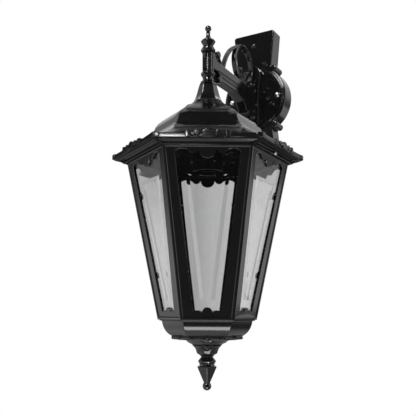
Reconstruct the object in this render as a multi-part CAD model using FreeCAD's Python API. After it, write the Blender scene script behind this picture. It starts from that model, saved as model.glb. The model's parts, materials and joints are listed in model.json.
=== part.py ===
import FreeCAD
import Part
import math
import os

Vector = FreeCAD.Vector

# Millimetres. The wall is the plane y = 0, the lantern hangs in front of it towards -Y, +Z is up.
# The origin is on the wall behind the centre of the plate's disc.

# Wall plate
axis_to_wall = 157.5
plate_depth = 24.0
plate_wall = 3.0
plate_edge = 2.0
disc_radius = 48.5
disc_setback = 2.5
disc_border = 5.5
border_edge = 0.9
field_recess = 1.6
tail_reach = 101.5
tail_root_half = 22.2
tail_end_half = 33.0
tail_corner = 4.0
ear_radius = 5.0
ear_rise = 3.9
pillar_radius = 5.0
wire_hole_radius = 4.5

# Screws that hold the plate to the bracket behind it
plate_screw_side = 36.0
tail_screw_inset = 19.5
plate_screw_radius = 2.0
plate_screw_head = 4.0
dome_height = 2.6

# Mounting bracket
bracket_thickness = 2.5
bracket_strap_half = 12.0
bracket_bar_half = 10.0
bracket_edge = 6.0
bracket_corner = 3.3
wall_hole_spacing = 120.0
wall_hole_radius = 3.0
cable_hole_radius = 9.0
earth_place = 24.0
earth_radius = 1.9

# Terminal block
terminal_width = 34.0
terminal_height = 16.0
terminal_depth = 13.0
terminal_drop = 38.0
terminal_ways = 3
terminal_groove = 1.0
terminal_screw_radius = 2.2
terminal_screw_depth = 5.0

# Bracket arm: the beam, its root and the foot pad, with distances out from the lamp's axis
arm_width = 13.0
scroll_width = 6.5
arm_edge = 1.1
pad_thickness = 5.5
pad_top = 48.0
pad_foot = 41.0
pad_top_half = 13.0
pad_foot_half = 9.0
beam_top = 11.0
beam_far_drop = 2.5
beam_height = 23.5
neck_drop = 0.5
neck_sweep = 10.0
undercut_start = 12.0
undercut_end = 23.0
undercut_drop = 13.0
root_top_out = 86.0
root_low_out = 62.0
root_top = 33.0
root_foot = 37.0
root_sweep = 14.0
root_notch_out = 38.0
root_notch_drop = 21.5
root_heel_out = 24.0
root_heel_rise = 2.8
leaf_roll = 3.6
reed_count = 3
reed_start = 15.0
reed_step = 4.0
reed_end = 80.0
reed_drop = 11.2
reed_pitch = 3.0
reed_width = 1.5
reed_depth = 1.2

# Bracket arm: ring, strap, leaf and curls
ring_radius = 29.5
ring_thickness = 5.0
ring_lift = 29.0
strap_thickness = 4.4
strap_width = 6.0
strap_foot_out = 38.0
strap_middle_out = 57.4
strap_middle_rise = 32.6
leaf_thickness = 3.2
leaf_width = 5.4
leaf_tip_out = 24.7
leaf_tip_rise = 14.7
curl_ball = 4.3
inner_ball = 3.6
roll_proud = 0.8
arm_screw_up = 32.0
arm_screw_down = 22.0
arm_screw_radius = 2.4
arm_screw_bite = 9.0
wireway_radius = 2.6
wireway_rise = 3.5

# Column, collar and hanger tube
column_top = 19.5
column_height = 27.5
column_radius = 7.2
column_fin = 8.8
fin_width = 5.0
fin_length = 16.0
fin_rise = 3.0
collar_height = 12.8
collar_radius = 9.1
collar_neck = 6.8
tube_radius = 4.0
tube_bore = 2.8
tube_bite = 14.0
running_gap = 0.08

# Top finial
finial_ring = 9.3
finial_neck = 5.8
finial_tip_neck = 2.6
finial_ball = 4.1
finial_height = 36.3

# Crown and roof, radii at the hips
crown_top_radius = 9.6
crown_foot_radius = 30.0
crown_height = 34.4
crown_wall = 3.0
roof_top_radius = 31.5
roof_rise = 61.5
roof_wall = 3.0
rim_radius = 117.5
rim_lip = 1.2
fascia_height = 4.7
skirt_height = 5.1
skirt_wall = 2.2
skirt_gap = 1.0
bead_width = 1.6
bead_drop = 1.0
bead_spread = 4.6
spout_half = 2.2
spout_setback = 1.0
spout_cove = 9.0
block_length = 6.5
block_proud = 0.5
block_rise = 1.2
crest_radius = 6.7
crest_proud = 1.6
crest_back = 3.0
rosette_radius = 3.0
rosette_place = 11.6
boss_half = 2.6
boss_place = 21.5
washer_radius = 11.0
washer_thickness = 1.5
nut_radius = 8.0
nut_height = 6.0

# Lampholder
holder_drop = 10.5
holder_length = 58.0
holder_radius = 19.0
holder_wall = 2.5
holder_cap_height = 14.0
holder_neck = 8.5
shell_lip_rise = 12.0
shell_lip_height = 4.0
insert_height = 9.0
insert_gap = 0.3
insert_hole_radius = 1.5
contact_radius = 3.0
contact_height = 3.0
sleeve_rise = 14.0
sleeve_gap = 0.6
sleeve_wall = 1.0

# Cage
cage_height = 192.5
cage_headroom = 1.1
cage_foot_radius = 58.9
cage_flare = 0.2148
frame_thickness = 6.0
frame_web = 3.0
frame_border = 3.0
frame_recess = 1.2
frame_seam = 0.2
jamb_top = 12.8
jamb_foot = 15.0
rail_reveal = 3.1
field_drop = 1.0
lobe_half = 9.4
lobe_depth = 10.4
side_lobe_depth = 4.8
side_lobe_middle = 4.0
side_lobe_far = 19.0
side_lobe_tuck = 0.5
arch_shift = 3.0
foot_rail = 7.7
foot_bump_half = 5.7
foot_bump_rise = 6.0
foot_side_rise = 2.7

# Glass
glass_thickness = 2.5
glass_lap = 4.0
glass_edge_gap = 0.5
glass_seat_gap = 0.2
bevel_margin = 8.0
bevel_end_margin = 13.5
bevel_width = 5.0
bevel_rise = 0.5
bevel_sink = 0.1
clip_width = 6.0
clip_thickness = 1.0
clip_reach = 3.5
clip_land = 4.0

# Bottom cup, radii at the hips
cup_top_radius = 53.8
cup_waist_radius = 49.2
cup_band_radius = 41.5
cup_depth = 18.8
cup_wall = 3.5
cup_rim_wall = 5.2
cup_floor = 1.0
cup_lip = 1.2
cup_lip_setback = 2.2
cup_shelf = 8.0
band_height = 3.8
band_lip = 0.3
trumpet_radius = 26.0
trumpet_foot = 10.8
trumpet_height = 15.2
spigot_height = 8.0
spigot_wall = 2.5
spigot_gap = 0.3
cup_screw_radius = 1.25
cup_screw_rise = 2.4
cup_screw_head = 2.4
cup_screw_bite = 3.5

# Bottom finial
petal_count = 4
petal_turn = 30.0
petal_thickness = 1.1
petal_gap = 0.3
petal_height = 8.5
petal_notch = 6.0
spike_radius = 13.0
spike_shoulder = 0.8
spike_tip = 4.1
spike_length = 18.0
stem_height = 15.9
stem_neck = 6.9
stem_ring = 10.4
ring_half = 0.6
foot_ball = 5.1
stud_radius = 3.0
stud_length = 10.0

# Hinge and closure
knuckle_radius = 3.0
knuckle_drop = 0.7
knuckle_half = 11.0
knuckle_middle = 4.7
knuckle_gap = 0.3
hinge_plate = 2.0
cage_leaf_length = 8.0
pin_radius = 1.5
pin_head = 2.4
pin_overhang = 1.2
rivet_radius = 1.0
rivet_head = 1.7
rivet_head_height = 0.8
rivet_edge = 0.4
closure_radius = 1.5
closure_head = 2.5
closure_head_height = 2.0
closure_drop = 2.8
closure_slot_gap = 0.4
closure_slot_reach = 20.0

# Clearances and the depth by which a cutting shape runs past a face
hole_gap = 0.05
past = 1.0
tiny = 0.01
least_corner = 0.5

# Heights worked out from the top down
column_foot = column_top - column_height
crown_top = column_foot - collar_height
roof_top = crown_top - crown_height
fascia_top = roof_top - roof_rise
fascia_foot = fascia_top - fascia_height
skirt_foot = fascia_foot - skirt_height
cage_top = fascia_foot - cage_headroom
cage_foot = cage_top - cage_height
cup_band_top = cage_foot - cup_depth
trumpet_top = cup_band_top - band_height
trumpet_end = trumpet_top - trumpet_height
spike_top = trumpet_end - stem_height
spike_end = spike_top - spike_length
holder_foot = skirt_foot - holder_drop
holder_top = holder_foot + holder_length
insert_top = holder_top - holder_cap_height
valance_z = skirt_foot - rail_reveal
foot_z = cage_foot + foot_rail
rebate_top = valance_z + glass_lap
rebate_foot = foot_z - glass_lap

# The cage's faces lean outwards as they rise
flat = math.cos(math.radians(30))
lean = math.atan(cage_flare * flat)
inward = Vector(-math.cos(lean), 0, math.sin(lean))
skirt_inner_radius = cage_foot_radius + cage_flare * cage_height + skirt_gap / flat
skirt_outer_radius = skirt_inner_radius + skirt_wall / flat
skirt_flat = skirt_outer_radius * flat
spigot_radius = cage_foot_radius - (frame_thickness / math.cos(lean) + spigot_gap) / flat
spigot_inner_radius = spigot_radius - spigot_wall / flat

# Places on the hinge, the closure, the plate and the arm
hinge_x = -(skirt_flat + knuckle_radius)
hinge_z = skirt_foot - knuckle_radius - knuckle_drop
rivet_z = (fascia_foot + skirt_foot) / 2
rivet_places = (-knuckle_half * 0.7, knuckle_half * 0.7)
closure_z = fascia_foot - closure_drop
field_face = plate_depth - field_recess
cavity_depth = field_face - plate_wall
pad_face = axis_to_wall - plate_depth
pad_front = pad_face - pad_thickness
plate_screw_end = tail_reach - tail_screw_inset
side_screw_places = [(plate_screw_side, 0), (-plate_screw_side, 0)]
tail_screw_places = [(0, plate_screw_end), (0, -plate_screw_end)]
plate_screw_places = side_screw_places + tail_screw_places
arm_screw_places = [(0, arm_screw_up), (0, -arm_screw_down)]
beam_far_top = beam_top - beam_far_drop
beam_low = beam_top - beam_height
ring_out = pad_front - ring_radius
ring_z = beam_far_top + ring_lift


def fuse(shapes):
    return shapes[0].multiFuse(shapes[1:]).removeSplitter()


def cut_all(shape, tools):
    for tool in tools:
        shape = shape.cut(tool)
    return shape


def bar(radius, start, end):
    return Part.makeCylinder(radius, (end - start).Length, start, end - start)


def prism(points, direction):
    return Part.Face(Part.makePolygon(points + points[:1])).extrude(direction)


def line(a, b):
    return Part.makeLine(Vector(a[0], 0, a[1]), Vector(b[0], 0, b[1]))


def arc(a, middle, b):
    return Part.Arc(*[Vector(r, 0, z) for r, z in (a, middle, b)]).toShape()


def spline(points):
    curve = Part.BSplineCurve()
    curve.interpolate([Vector(r, 0, z) for r, z in points])
    return curve.toShape()


def polyline(points):
    return [line(a, b) for a, b in zip(points, points[1:])]


def edge_end(edges):
    point = edges[-1].Vertexes[-1].Point
    return (point.x, point.z)


# A curve moved sideways by a wall, towards the axis and down
def inner_curve(points, wall):
    edge = spline(points)
    moved = []
    for radius, z in points:
        tangent = edge.tangentAt(edge.Curve.parameter(Vector(radius, 0, z)))
        moved.append((radius + tangent.z * wall, z - tangent.x * wall))
    return moved


# A profile turned about the upright axis
def turned(edges):
    first = edges[0].Vertexes[0].Point
    last = edges[-1].Vertexes[-1].Point
    wire = Part.Wire(edges + [Part.makeLine(last, first)])
    return Part.Face(wire).revolve(Vector(), Vector(0, 0, 1), 360)


def corner(radius, z, angle):
    turn = math.radians(angle)
    return Vector(radius * math.cos(turn), radius * math.sin(turn), z)


def hexagon(radius, z, first_angle=30):
    points = [corner(radius, z, first_angle + 60 * k) for k in range(6)]
    return Part.Face(Part.makePolygon(points + points[:1]))


def hex_prism(radius, low, high, first_angle=30):
    return hexagon(radius, low, first_angle).extrude(Vector(0, 0, high - low))


# A profile carried round six flat sides, given by its radius at the hips
def hex_turned(edges, first_angle=30):
    first = edges[0].Vertexes[0].Point
    last = edges[-1].Vertexes[-1].Point
    faces = [hexagon(p.x, p.z, first_angle) for p in (first, last)]
    for edge in edges:
        for k in range(6):
            sides = [edge.copy(), edge.copy()]
            for n, side in enumerate(sides):
                side.rotate(Vector(), Vector(0, 0, 1), first_angle + 60 * (k + n))
            faces.append(Part.makeRuledSurface(*sides))
    shell = Part.makeShell(faces)
    shell.sewShape()
    solid = Part.makeSolid(shell)
    if solid.Volume < 0:
        solid.reverse()
    return solid


def six_times(shape):
    copies = [shape.copy() for k in range(6)]
    for k, piece in enumerate(copies):
        piece.rotate(Vector(), Vector(0, 0, 1), 60 * k)
    return copies


def at_lamp(shape):
    return shape.translated(Vector(0, -axis_to_wall, 0))


def to_hidden_side(shape):
    return shape.rotated(Vector(), Vector(0, 0, 1), 180)


# A shallow dome that closes a profile on the axis
def dome(head, height):
    ball = (head ** 2 + height ** 2) / (2 * height)
    half = math.asin(head / ball) / 2
    middle = (ball * math.sin(half), height - ball + ball * math.cos(half))
    return arc((head, 0), middle, (0, height))


# A screw lying along Y: its head towards -Y on the seat, its shank towards the wall
def dome_screw(x, z, seat, tip, radius, head):
    profile = polyline([(0, tip - seat), (radius, tip - seat), (radius, 0), (head, 0)])
    screw = turned(profile + [dome(head, dome_height)])
    screw.rotate(Vector(), Vector(1, 0, 0), 90)
    screw.translate(Vector(x, -seat, z))
    return screw


# A hole along Y from behind the wall plane to a depth
def wall_hole(x, z, radius, depth):
    return bar(radius, Vector(x, past, z), Vector(x, -depth, z))


# Half width of a tail at a height above the middle of the disc
def tail_half(z):
    return tail_root_half + (tail_end_half - tail_root_half) * z / tail_reach


# A tail of the plate drawn in by an inset, between two distances from the wall
def plate_tail(side, inset, near, far):
    end = side * (tail_reach - inset)
    half = tail_end_half - inset
    root = tail_root_half - inset
    outline = [(-root, 0), (root, 0), (half, end), (-half, end)]
    tail = prism([Vector(x, -near, z) for x, z in outline], Vector(0, near - far, 0))
    ends = [e for e in tail.Edges if abs(e.CenterOfMass.z - end) < tiny]
    corners = [e for e in ends if abs(e.CenterOfMass.x) > half / 2]
    return tail.makeFillet(max(tail_corner - inset, least_corner), corners)


# Plate outline drawn in by an inset: the disc, two flared tails and four round ears
def plate_layer(inset, near, far):
    reach = Vector(0, near - far, 0)
    pieces = [bar(disc_radius - inset, Vector(0, -near, 0), Vector(0, -far, 0))]
    ear_x = tail_half(disc_radius * flat) + ear_radius * 2 / 3
    ear_z = math.sqrt(disc_radius ** 2 - ear_x ** 2) + ear_rise
    for side in (1, -1):
        pieces.append(plate_tail(side, inset, near, far))
        for x in (ear_x, -ear_x):
            ear = Vector(x, -near, side * ear_z)
            pieces.append(bar(ear_radius - inset, ear, ear + reach))
    return fuse(pieces)


# The hollow plate: flat tails with rounded edges and a raised border round the disc
def wall_plate():
    body = plate_layer(0, 0, field_face)
    front = [e for e in body.Edges if e.BoundBox.YMax < tiny - field_face]
    body = body.makeFillet(plate_edge, front)
    rim = disc_radius - disc_setback
    border = bar(rim, Vector(0, -cavity_depth - past, 0), Vector(0, -plate_depth, 0))
    border = border.cut(bar(rim - disc_border, Vector(0, 0, 0), Vector(0, -plate_depth - past, 0)))
    border = border.makeFillet(border_edge, [e for e in border.Edges if e.BoundBox.YMax < tiny - plate_depth])
    body = body.fuse(border)
    body = body.cut(plate_layer(plate_wall, -past, cavity_depth))
    for x, z in plate_screw_places:
        foot = Vector(x, -bracket_thickness, z)
        body = body.fuse(bar(pillar_radius, foot, Vector(x, -cavity_depth - past, z)))
    body = body.fuse(pad_blank(plate_depth, cavity_depth + past))
    deep = plate_depth + past
    holes = [wall_hole(x, z, plate_screw_radius + hole_gap, deep) for x, z in plate_screw_places]
    holes += [wall_hole(x, z, arm_screw_radius + hole_gap, deep) for x, z in arm_screw_places]
    holes.append(wall_hole(0, wireway_rise, wire_hole_radius, deep))
    return cut_all(body, holes).removeSplitter()


# The foot pad's outline, arched at the top, between two distances from the wall
def pad_blank(far, near):
    shoulder = pad_top - pad_top_half
    points = [(pad_top_half, shoulder), (pad_foot_half, 0), (pad_foot_half, -pad_foot)]
    points += [(-x, z) for x, z in reversed(points)]
    sides = polyline(points) + [arc(points[-1], (0, pad_top), points[0])]
    face = Part.Face(Part.Wire(sides))
    face.translate(Vector(0, -near, 0))
    return face.extrude(Vector(0, near - far, 0))


def foot_pad():
    front = plate_depth + pad_thickness
    pad = pad_blank(front, plate_depth)
    return pad.makeFillet(arm_edge, [e for e in pad.Edges if e.BoundBox.YMax < tiny - front])


def mounting_bracket():
    reach = tail_reach - plate_wall - bracket_edge
    side = disc_radius - plate_wall - bracket_edge
    upright = Part.makeBox(2 * bracket_strap_half, bracket_thickness, 2 * reach,
                           Vector(-bracket_strap_half, -bracket_thickness, -reach))
    cross = Part.makeBox(2 * side, bracket_thickness, 2 * bracket_bar_half,
                         Vector(-side, -bracket_thickness, -bracket_bar_half))
    strap = fuse([upright, cross])
    corners = [e for e in strap.Edges if e.BoundBox.YLength > bracket_thickness / 2]
    strap = strap.makeFillet(bracket_corner, corners)
    deep = bracket_thickness + past
    holes = [wall_hole(x, z, plate_screw_radius + hole_gap, deep) for x, z in plate_screw_places]
    for z in (wall_hole_spacing / 2, -wall_hole_spacing / 2):
        holes.append(wall_hole(0, z, wall_hole_radius, deep))
    holes.append(wall_hole(0, 0, cable_hole_radius, deep))
    holes.append(wall_hole(-earth_place, 0, earth_radius + hole_gap, deep))
    return cut_all(strap, holes)


def plate_screws(places):
    return [dome_screw(x, z, field_face, hole_gap, plate_screw_radius, plate_screw_head) for x, z in places]


# These go in from behind: each head lies inside the plate and the shank runs away from the wall
def arm_screws():
    tip = -plate_wall - field_recess - arm_screw_bite
    screws = []
    for x, z in arm_screw_places:
        screw = to_hidden_side(dome_screw(x, 0, 0, tip, arm_screw_radius, plate_screw_head))
        screws.append(screw.translated(Vector(0, -cavity_depth, z)))
    return screws


def earth_screw():
    return dome_screw(-earth_place, 0, bracket_thickness, hole_gap, earth_radius, plate_screw_head)


def terminal_places():
    pitch = terminal_width / terminal_ways
    rows = (terminal_height / 4, -terminal_height / 4)
    columns = [(k + 0.5) * pitch - terminal_width / 2 for k in range(terminal_ways)]
    return [(x, row - terminal_drop) for x in columns for row in rows]


def terminal_block():
    face = -bracket_thickness - terminal_depth
    low = Vector(-terminal_width / 2, face, -terminal_drop - terminal_height / 2)
    block = Part.makeBox(terminal_width, terminal_depth, terminal_height, low)
    cuts = []
    for x, z in terminal_places():
        floor = Vector(x, face + terminal_screw_depth, z)
        cuts.append(bar(terminal_screw_radius + hole_gap, Vector(x, face - past, z), floor))
    pitch = terminal_width / terminal_ways
    for k in range(1, terminal_ways):
        start = low + Vector(k * pitch - terminal_groove / 2, -past, -past)
        height = terminal_height + 2 * past
        cuts.append(Part.makeBox(terminal_groove, terminal_depth / 4 + past, height, start))
    return cut_all(block, cuts)


def terminal_screws():
    floor = -bracket_thickness - terminal_depth + terminal_screw_depth
    rise = Vector(0, -terminal_screw_depth * 0.7, 0)
    feet = [Vector(x, floor, z) for x, z in terminal_places()]
    return [bar(terminal_screw_radius, foot, foot + rise) for foot in feet]


# A point of the arm's side view: distance out from the lamp's axis, height and sideways place
def arm_point(out, z, x=0.0):
    return Vector(x, out - axis_to_wall, z)


def arm_line(a, b):
    return Part.makeLine(arm_point(*a), arm_point(*b))


def arm_arc(a, middle, b):
    return Part.Arc(arm_point(*a), arm_point(*middle), arm_point(*b)).toShape()


def arm_curve(places):
    curve = Part.BSplineCurve()
    curve.interpolate([arm_point(*place) for place in places])
    return curve.toShape()


# A side view given by a closed list of edges, thickened about the arm's middle plane, edges rounded
def arm_slab(edges, width, rounding):
    face = Part.Face(Part.Wire(edges))
    face.translate(Vector(-width / 2, 0, 0))
    slab = face.extrude(Vector(width, 0, 0))
    rims = [e for e in slab.Edges if e.BoundBox.XLength < tiny]
    return slab.makeFillet(rounding, rims)


# A curved strip of even thickness along an arc
def arm_strip(a, middle, b, thickness, width):
    inner, outer = [], []
    circle = arm_arc(a, middle, b).Curve
    for place in (a, middle, b):
        point = arm_point(*place)
        ray = (point - circle.Center).normalize()
        inner.append(point - ray * thickness / 2)
        outer.append(point + ray * thickness / 2)
    edges = [Part.Arc(*outer).toShape(), Part.makeLine(outer[2], inner[2])]
    edges += [Part.Arc(*reversed(inner)).toShape(), Part.makeLine(inner[0], outer[0])]
    return arm_slab(edges, width, thickness / 4)


# A short roll across the arm, which ends a curl or a leaf
def arm_roll(out, z, radius, width):
    half = Vector(width / 2, 0, 0)
    roll = bar(radius, arm_point(out, z) - half, arm_point(out, z) + half)
    rims = [e for e in roll.Edges if e.BoundBox.XLength < tiny]
    return roll.makeFillet(radius / 3, rims)


# The beam sweeps up to the column, is undercut above the lower curl and spreads onto the foot pad
def beam():
    neck = (column_radius, column_top - neck_drop)
    shoulder = (column_radius + neck_sweep, beam_top)
    sweep = (column_radius + neck_sweep / 4, beam_top + (neck[1] - beam_top) / 3)
    root = (root_top_out, beam_far_top)
    far = pad_front + pad_thickness / 2
    crest = (far, root_top)
    foot = (far, -root_foot)
    edges = [arm_line((0, neck[1]), neck), arm_arc(neck, sweep, shoulder), arm_line(shoulder, root)]
    edges += [arm_arc(root, (far - root_sweep, root_top / 2.3), crest), arm_line(crest, foot)]
    under = (undercut_start, beam_top - undercut_drop)
    edges += beam_underside(foot, under)
    edges += [arm_line(under, (0, under[1])), arm_line((0, under[1]), (0, neck[1]))]
    return arm_slab(edges, arm_width, arm_edge)


# From the pad's foot along the leafy underside to the undercut
def beam_underside(foot, under):
    nose = (root_low_out, beam_low)
    notch = (pad_front - root_notch_out, -root_notch_drop)
    heel = (pad_front - root_heel_out, root_heel_rise - root_foot)
    heel_bend = (heel[0] + (notch[0] - heel[0]) * 0.65, heel[1] + (notch[1] - heel[1]) * 0.45)
    nose_bend = (notch[0] + (nose[0] - notch[0]) * 0.45, notch[1] + (nose[1] - notch[1]) * 0.65)
    curl = (undercut_end, beam_low)
    bend = 0.7
    hollow = (under[0] + (curl[0] - under[0]) * bend, curl[1] + (under[1] - curl[1]) * bend)
    edges = [arm_line(foot, heel), arm_curve([heel, heel_bend, notch, nose_bend, nose])]
    return edges + [arm_line(nose, curl), arm_arc(curl, hollow, under)]


def leaf_rolls():
    wide = arm_width + 2 * roll_proud
    near = root_top_out + neck_sweep
    far = pad_front - root_sweep
    heel = (pad_front - root_heel_out, 2 * root_heel_rise - root_foot)
    places = [(near, beam_far_top), (far, root_top * 0.39), heel, (far, -root_foot)]
    return [arm_roll(out, z, leaf_roll, wide) for out, z in places]


def reeds():
    cuts = []
    for k in range(reed_count):
        high = beam_top - reed_drop - reed_pitch * k
        start = reed_start + reed_step * k
        outline = [(start, high), (reed_end, high), (reed_end, high - reed_width), (start, high - reed_width)]
        for side in (1, -1):
            points = [arm_point(out, z, side * arm_width / 2) for out, z in outline]
            cuts.append(prism(points, Vector(-side * reed_depth, 0, 0)))
    return cuts


# The ring, the strap that carries it, the leaf at the strap's foot and two curls inside the ring
def scrolls():
    half = Vector(scroll_width / 2, 0, 0)
    centre = arm_point(ring_out, ring_z)
    ring = bar(ring_radius, centre - half, centre + half)
    ring = ring.cut(bar(ring_radius - ring_thickness, centre - half * 2, centre + half * 2))
    ring = ring.makeFillet(arm_edge, [e for e in ring.Edges if e.BoundBox.XLength < tiny])
    mid = ring_radius - ring_thickness / 2
    strap_middle = (strap_middle_out, beam_top + strap_middle_rise)
    strap_foot = (strap_foot_out, beam_far_top)
    strap_top = (ring_out, ring_z + mid)
    strap = arm_strip(strap_top, strap_middle, strap_foot, strap_thickness, strap_width)
    leaf_tip = (leaf_tip_out, beam_top + leaf_tip_rise)
    leaf_foot = (strap_foot_out + leaf_thickness, beam_top)
    leaf_bend = (leaf_tip_out + curl_ball * 1.5, beam_top + leaf_tip_rise / 3)
    leaf = arm_strip(leaf_foot, leaf_bend, leaf_tip, leaf_thickness, leaf_width)
    pieces = [ring, strap, leaf, arm_roll(*leaf_tip, curl_ball, scroll_width)]
    for reach in (-ring_radius * 0.29, ring_radius * 0.37):
        tip = (ring_out + reach, ring_z - ring_radius * 0.31)
        stem = bar(leaf_thickness / 2, arm_point(ring_out, ring_z - mid), arm_point(*tip))
        pieces += [stem, arm_roll(*tip, inner_ball, strap_width)]
    return pieces


def column():
    post = hex_prism(column_radius, column_foot, column_top)
    low = Vector(-fin_width / 2, -column_fin, column_foot + fin_rise)
    fin = Part.makeBox(fin_width, column_fin, fin_length, low)
    return [at_lamp(post), at_lamp(fin)]


def bracket_arm():
    curl_place = (undercut_end - curl_ball / 2, beam_low + curl_ball / 3)
    low_curl = arm_roll(*curl_place, curl_ball, arm_width + 2 * roll_proud)
    arm = fuse([beam(), foot_pad(), low_curl] + leaf_rolls() + scrolls() + column())
    cuts = reeds()
    cuts.append(at_lamp(tube_hole(column_foot - past, column_top + past)))
    cuts.append(bar(wireway_radius, arm_point(0, wireway_rise), arm_point(pad_face + past, wireway_rise)))
    for x, z in arm_screw_places:
        start = Vector(x, -plate_depth + past, z)
        end = Vector(x, -plate_depth - arm_screw_bite - hole_gap, z)
        cuts.append(bar(arm_screw_radius + hole_gap, start, end))
    return cut_all(arm, cuts)


def tube_hole(low, high):
    return bar(tube_radius + running_gap, Vector(0, 0, low), Vector(0, 0, high))


def top_finial():
    z = column_top
    ball_z = z + finial_height - finial_ball
    ball_foot = ball_z - math.sqrt(finial_ball ** 2 - finial_tip_neck ** 2)
    ring_two = z + finial_height * 0.4
    wide = finial_ring
    tip = finial_tip_neck
    edges = polyline([(0, z), (wide - 1, z), (wide, z + 1.6), (wide, z + 3), (wide - 1, z + 4)])
    edges += [arc(edge_end(edges), (wide - 1.8, z + 6.4), (finial_neck, z + 8))]
    edges += polyline([edge_end(edges), (wide - 0.4, ring_two - 1.2), (wide, ring_two)])
    edges += polyline([edge_end(edges), (wide - 1.2, ring_two + 1.6)])
    edges += [arc(edge_end(edges), (tip + 1.3, ring_two + 5.2), (tip, ring_two + 10))]
    edges += polyline([edge_end(edges), (tip, ball_foot)])
    edges += [arc((tip, ball_foot), (finial_ball, ball_z), (0, ball_z + finial_ball))]
    socket = bar(tube_radius + hole_gap, Vector(0, 0, z - past), Vector(0, 0, z + tube_bite + hole_gap))
    return turned(edges).cut(socket)


def neck_collar():
    z = column_foot
    wide = collar_radius
    edges = polyline([(0, z), (wide - 1, z), (wide, z - 1.2), (wide, z - 3.6), (wide - 1.3, z - 5)])
    edges += [arc(edge_end(edges), (collar_neck, z - 8), (wide, crown_top))]
    edges += polyline([(wide, crown_top), (0, crown_top)])
    return turned(edges).cut(tube_hole(crown_top - past, z + past))


# Bell curve of the crown and ogee of the roof: shares of the spread and of the drop
crown_curve = [(0, 0), (0.17, 0.31), (0.33, 0.62), (0.56, 0.83), (1, 1)]
roof_curve = [(0, 0), (0.24, 0.21), (0.385, 0.38), (0.43, 0.5), (0.49, 0.655), (0.62, 0.81), (1, 1)]


def curve_points(shares, top_radius, foot_radius, top, drop):
    return [(top_radius + (foot_radius - top_radius) * out, top - drop * down) for out, down in shares]


def crown():
    outside = curve_points(crown_curve, crown_top_radius, crown_foot_radius, crown_top, crown_height)
    top = crown_top_radius - crown_wall
    foot = crown_foot_radius - crown_wall
    inside = curve_points(crown_curve[1:], top, foot, crown_top, crown_height)
    hollow = hex_turned([spline(inside), line(inside[-1], (foot, roof_top - past))])
    body = hex_turned([spline(outside)]).cut(hollow)
    return body.cut(tube_hole(roof_top, crown_top + past))


# The ogee shell with its fascia and skirt, before ornament
def roof_shell():
    edge = (rim_radius - rim_lip, fascia_top + rim_lip / 2)
    outside = curve_points(roof_curve, roof_top_radius, edge[0], roof_top, roof_top - edge[1])
    eaves = [edge, (rim_radius, fascia_top), (rim_radius, fascia_foot)]
    eaves += [(skirt_outer_radius, fascia_foot), (skirt_outer_radius, skirt_foot)]
    body = hex_turned([spline(outside)] + polyline(eaves))
    inside = inner_curve(outside, roof_wall)
    inside[0] = (roof_top_radius - roof_wall, roof_top - roof_wall)
    ledge = [inside[-1], (skirt_inner_radius, inside[-1][1]), (skirt_inner_radius, skirt_foot - past)]
    return body.cut(hex_turned([spline(inside)] + polyline(ledge)))


def roof():
    ornament = spouts() + corner_blocks() + rim_ornaments() + soffit_beads()
    body = roof_shell().fuse(ornament).removeSplitter()
    holes = [tube_hole(roof_top - roof_wall - past, roof_top + past)]
    inner = skirt_flat - skirt_wall - past
    outer = skirt_flat + past
    holes.append(bar(closure_radius + hole_gap, Vector(inner, 0, closure_z), Vector(outer, 0, closure_z)))
    for y in rivet_places:
        holes.append(bar(rivet_radius + hole_gap, Vector(-outer, y, rivet_z), Vector(-inner, y, rivet_z)))
    return cut_all(body, holes)


# Two beads under the rim, cut back beside the hinge and the closure screw
def soffit_beads():
    face = skirt_outer_radius
    width = bead_width / flat
    beads = []
    for near, far in ((face - skirt_wall / 2, face + width), (face + bead_spread, face + bead_spread + width)):
        ring = hex_prism(far, fascia_foot - bead_drop, fascia_foot + past)
        beads.append(ring.cut(hex_prism(near, skirt_foot, fascia_foot + 2 * past)))
    half = knuckle_half + knuckle_gap
    low = Vector(-skirt_flat - hinge_plate, -half, skirt_foot)
    hinge_room = Part.makeBox(hinge_plate, 2 * half, skirt_height, low)
    seat = Vector(skirt_flat, 0, closure_z)
    screw_room = bar(closure_head + closure_slot_gap, seat, seat + Vector(closure_head_height, 0, 0))
    return [bead.cut(hinge_room).cut(screw_room) for bead in beads]


# Coved brackets that carry the pointed corners of the rim
def spouts():
    tip = rim_radius - spout_setback
    low = (skirt_outer_radius - spout_setback, skirt_foot)
    middle = (rim_radius - spout_cove, fascia_foot - skirt_height * 0.45)
    top = fascia_foot + spout_setback
    cove = [arc((tip, fascia_foot), middle, low)]
    cove += polyline([low, (low[0], top), (tip, top), (tip, fascia_foot)])
    blade = Part.Face(Part.Wire(cove))
    blade.translate(Vector(0, -spout_half, 0))
    blade = blade.extrude(Vector(0, 2 * spout_half, 0))
    blade.rotate(Vector(), Vector(0, 0, 1), 30)
    return six_times(blade.common(hex_prism(tip, skirt_foot - past, top)))


# Small blocks that thicken the fascia at the pointed corners
def corner_blocks():
    top = fascia_top + block_rise
    ring = hex_prism(rim_radius + block_proud / flat, fascia_foot, top)
    post = bar(block_length, corner(rim_radius, fascia_foot - past, 30), corner(rim_radius, top + past, 30))
    return six_times(ring.common(post))


# Half-round crest, two rosettes and two square bosses on each edge of the rim
def rim_ornaments():
    face = rim_radius * flat
    middle = (fascia_top + fascia_foot) / 2
    back = face - crest_back
    front = face + crest_proud
    crest = bar(crest_radius, Vector(back, 0, middle), Vector(front, 0, middle))
    low = Vector(back, -crest_radius, fascia_foot - crest_radius)
    trim = Part.makeBox(crest_back + crest_proud + past, 2 * crest_radius, crest_radius, low)
    pieces = [crest.cut(trim)]
    for side in (1, -1):
        y = side * rosette_place
        pieces.append(bar(rosette_radius, Vector(back, y, fascia_top), Vector(front, y, fascia_top)))
        low = Vector(back, side * boss_place - boss_half, fascia_foot)
        pieces.append(Part.makeBox(crest_back + crest_proud, 2 * boss_half, fascia_height + boss_half, low))
    return six_times(Part.makeCompound(pieces))


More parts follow.
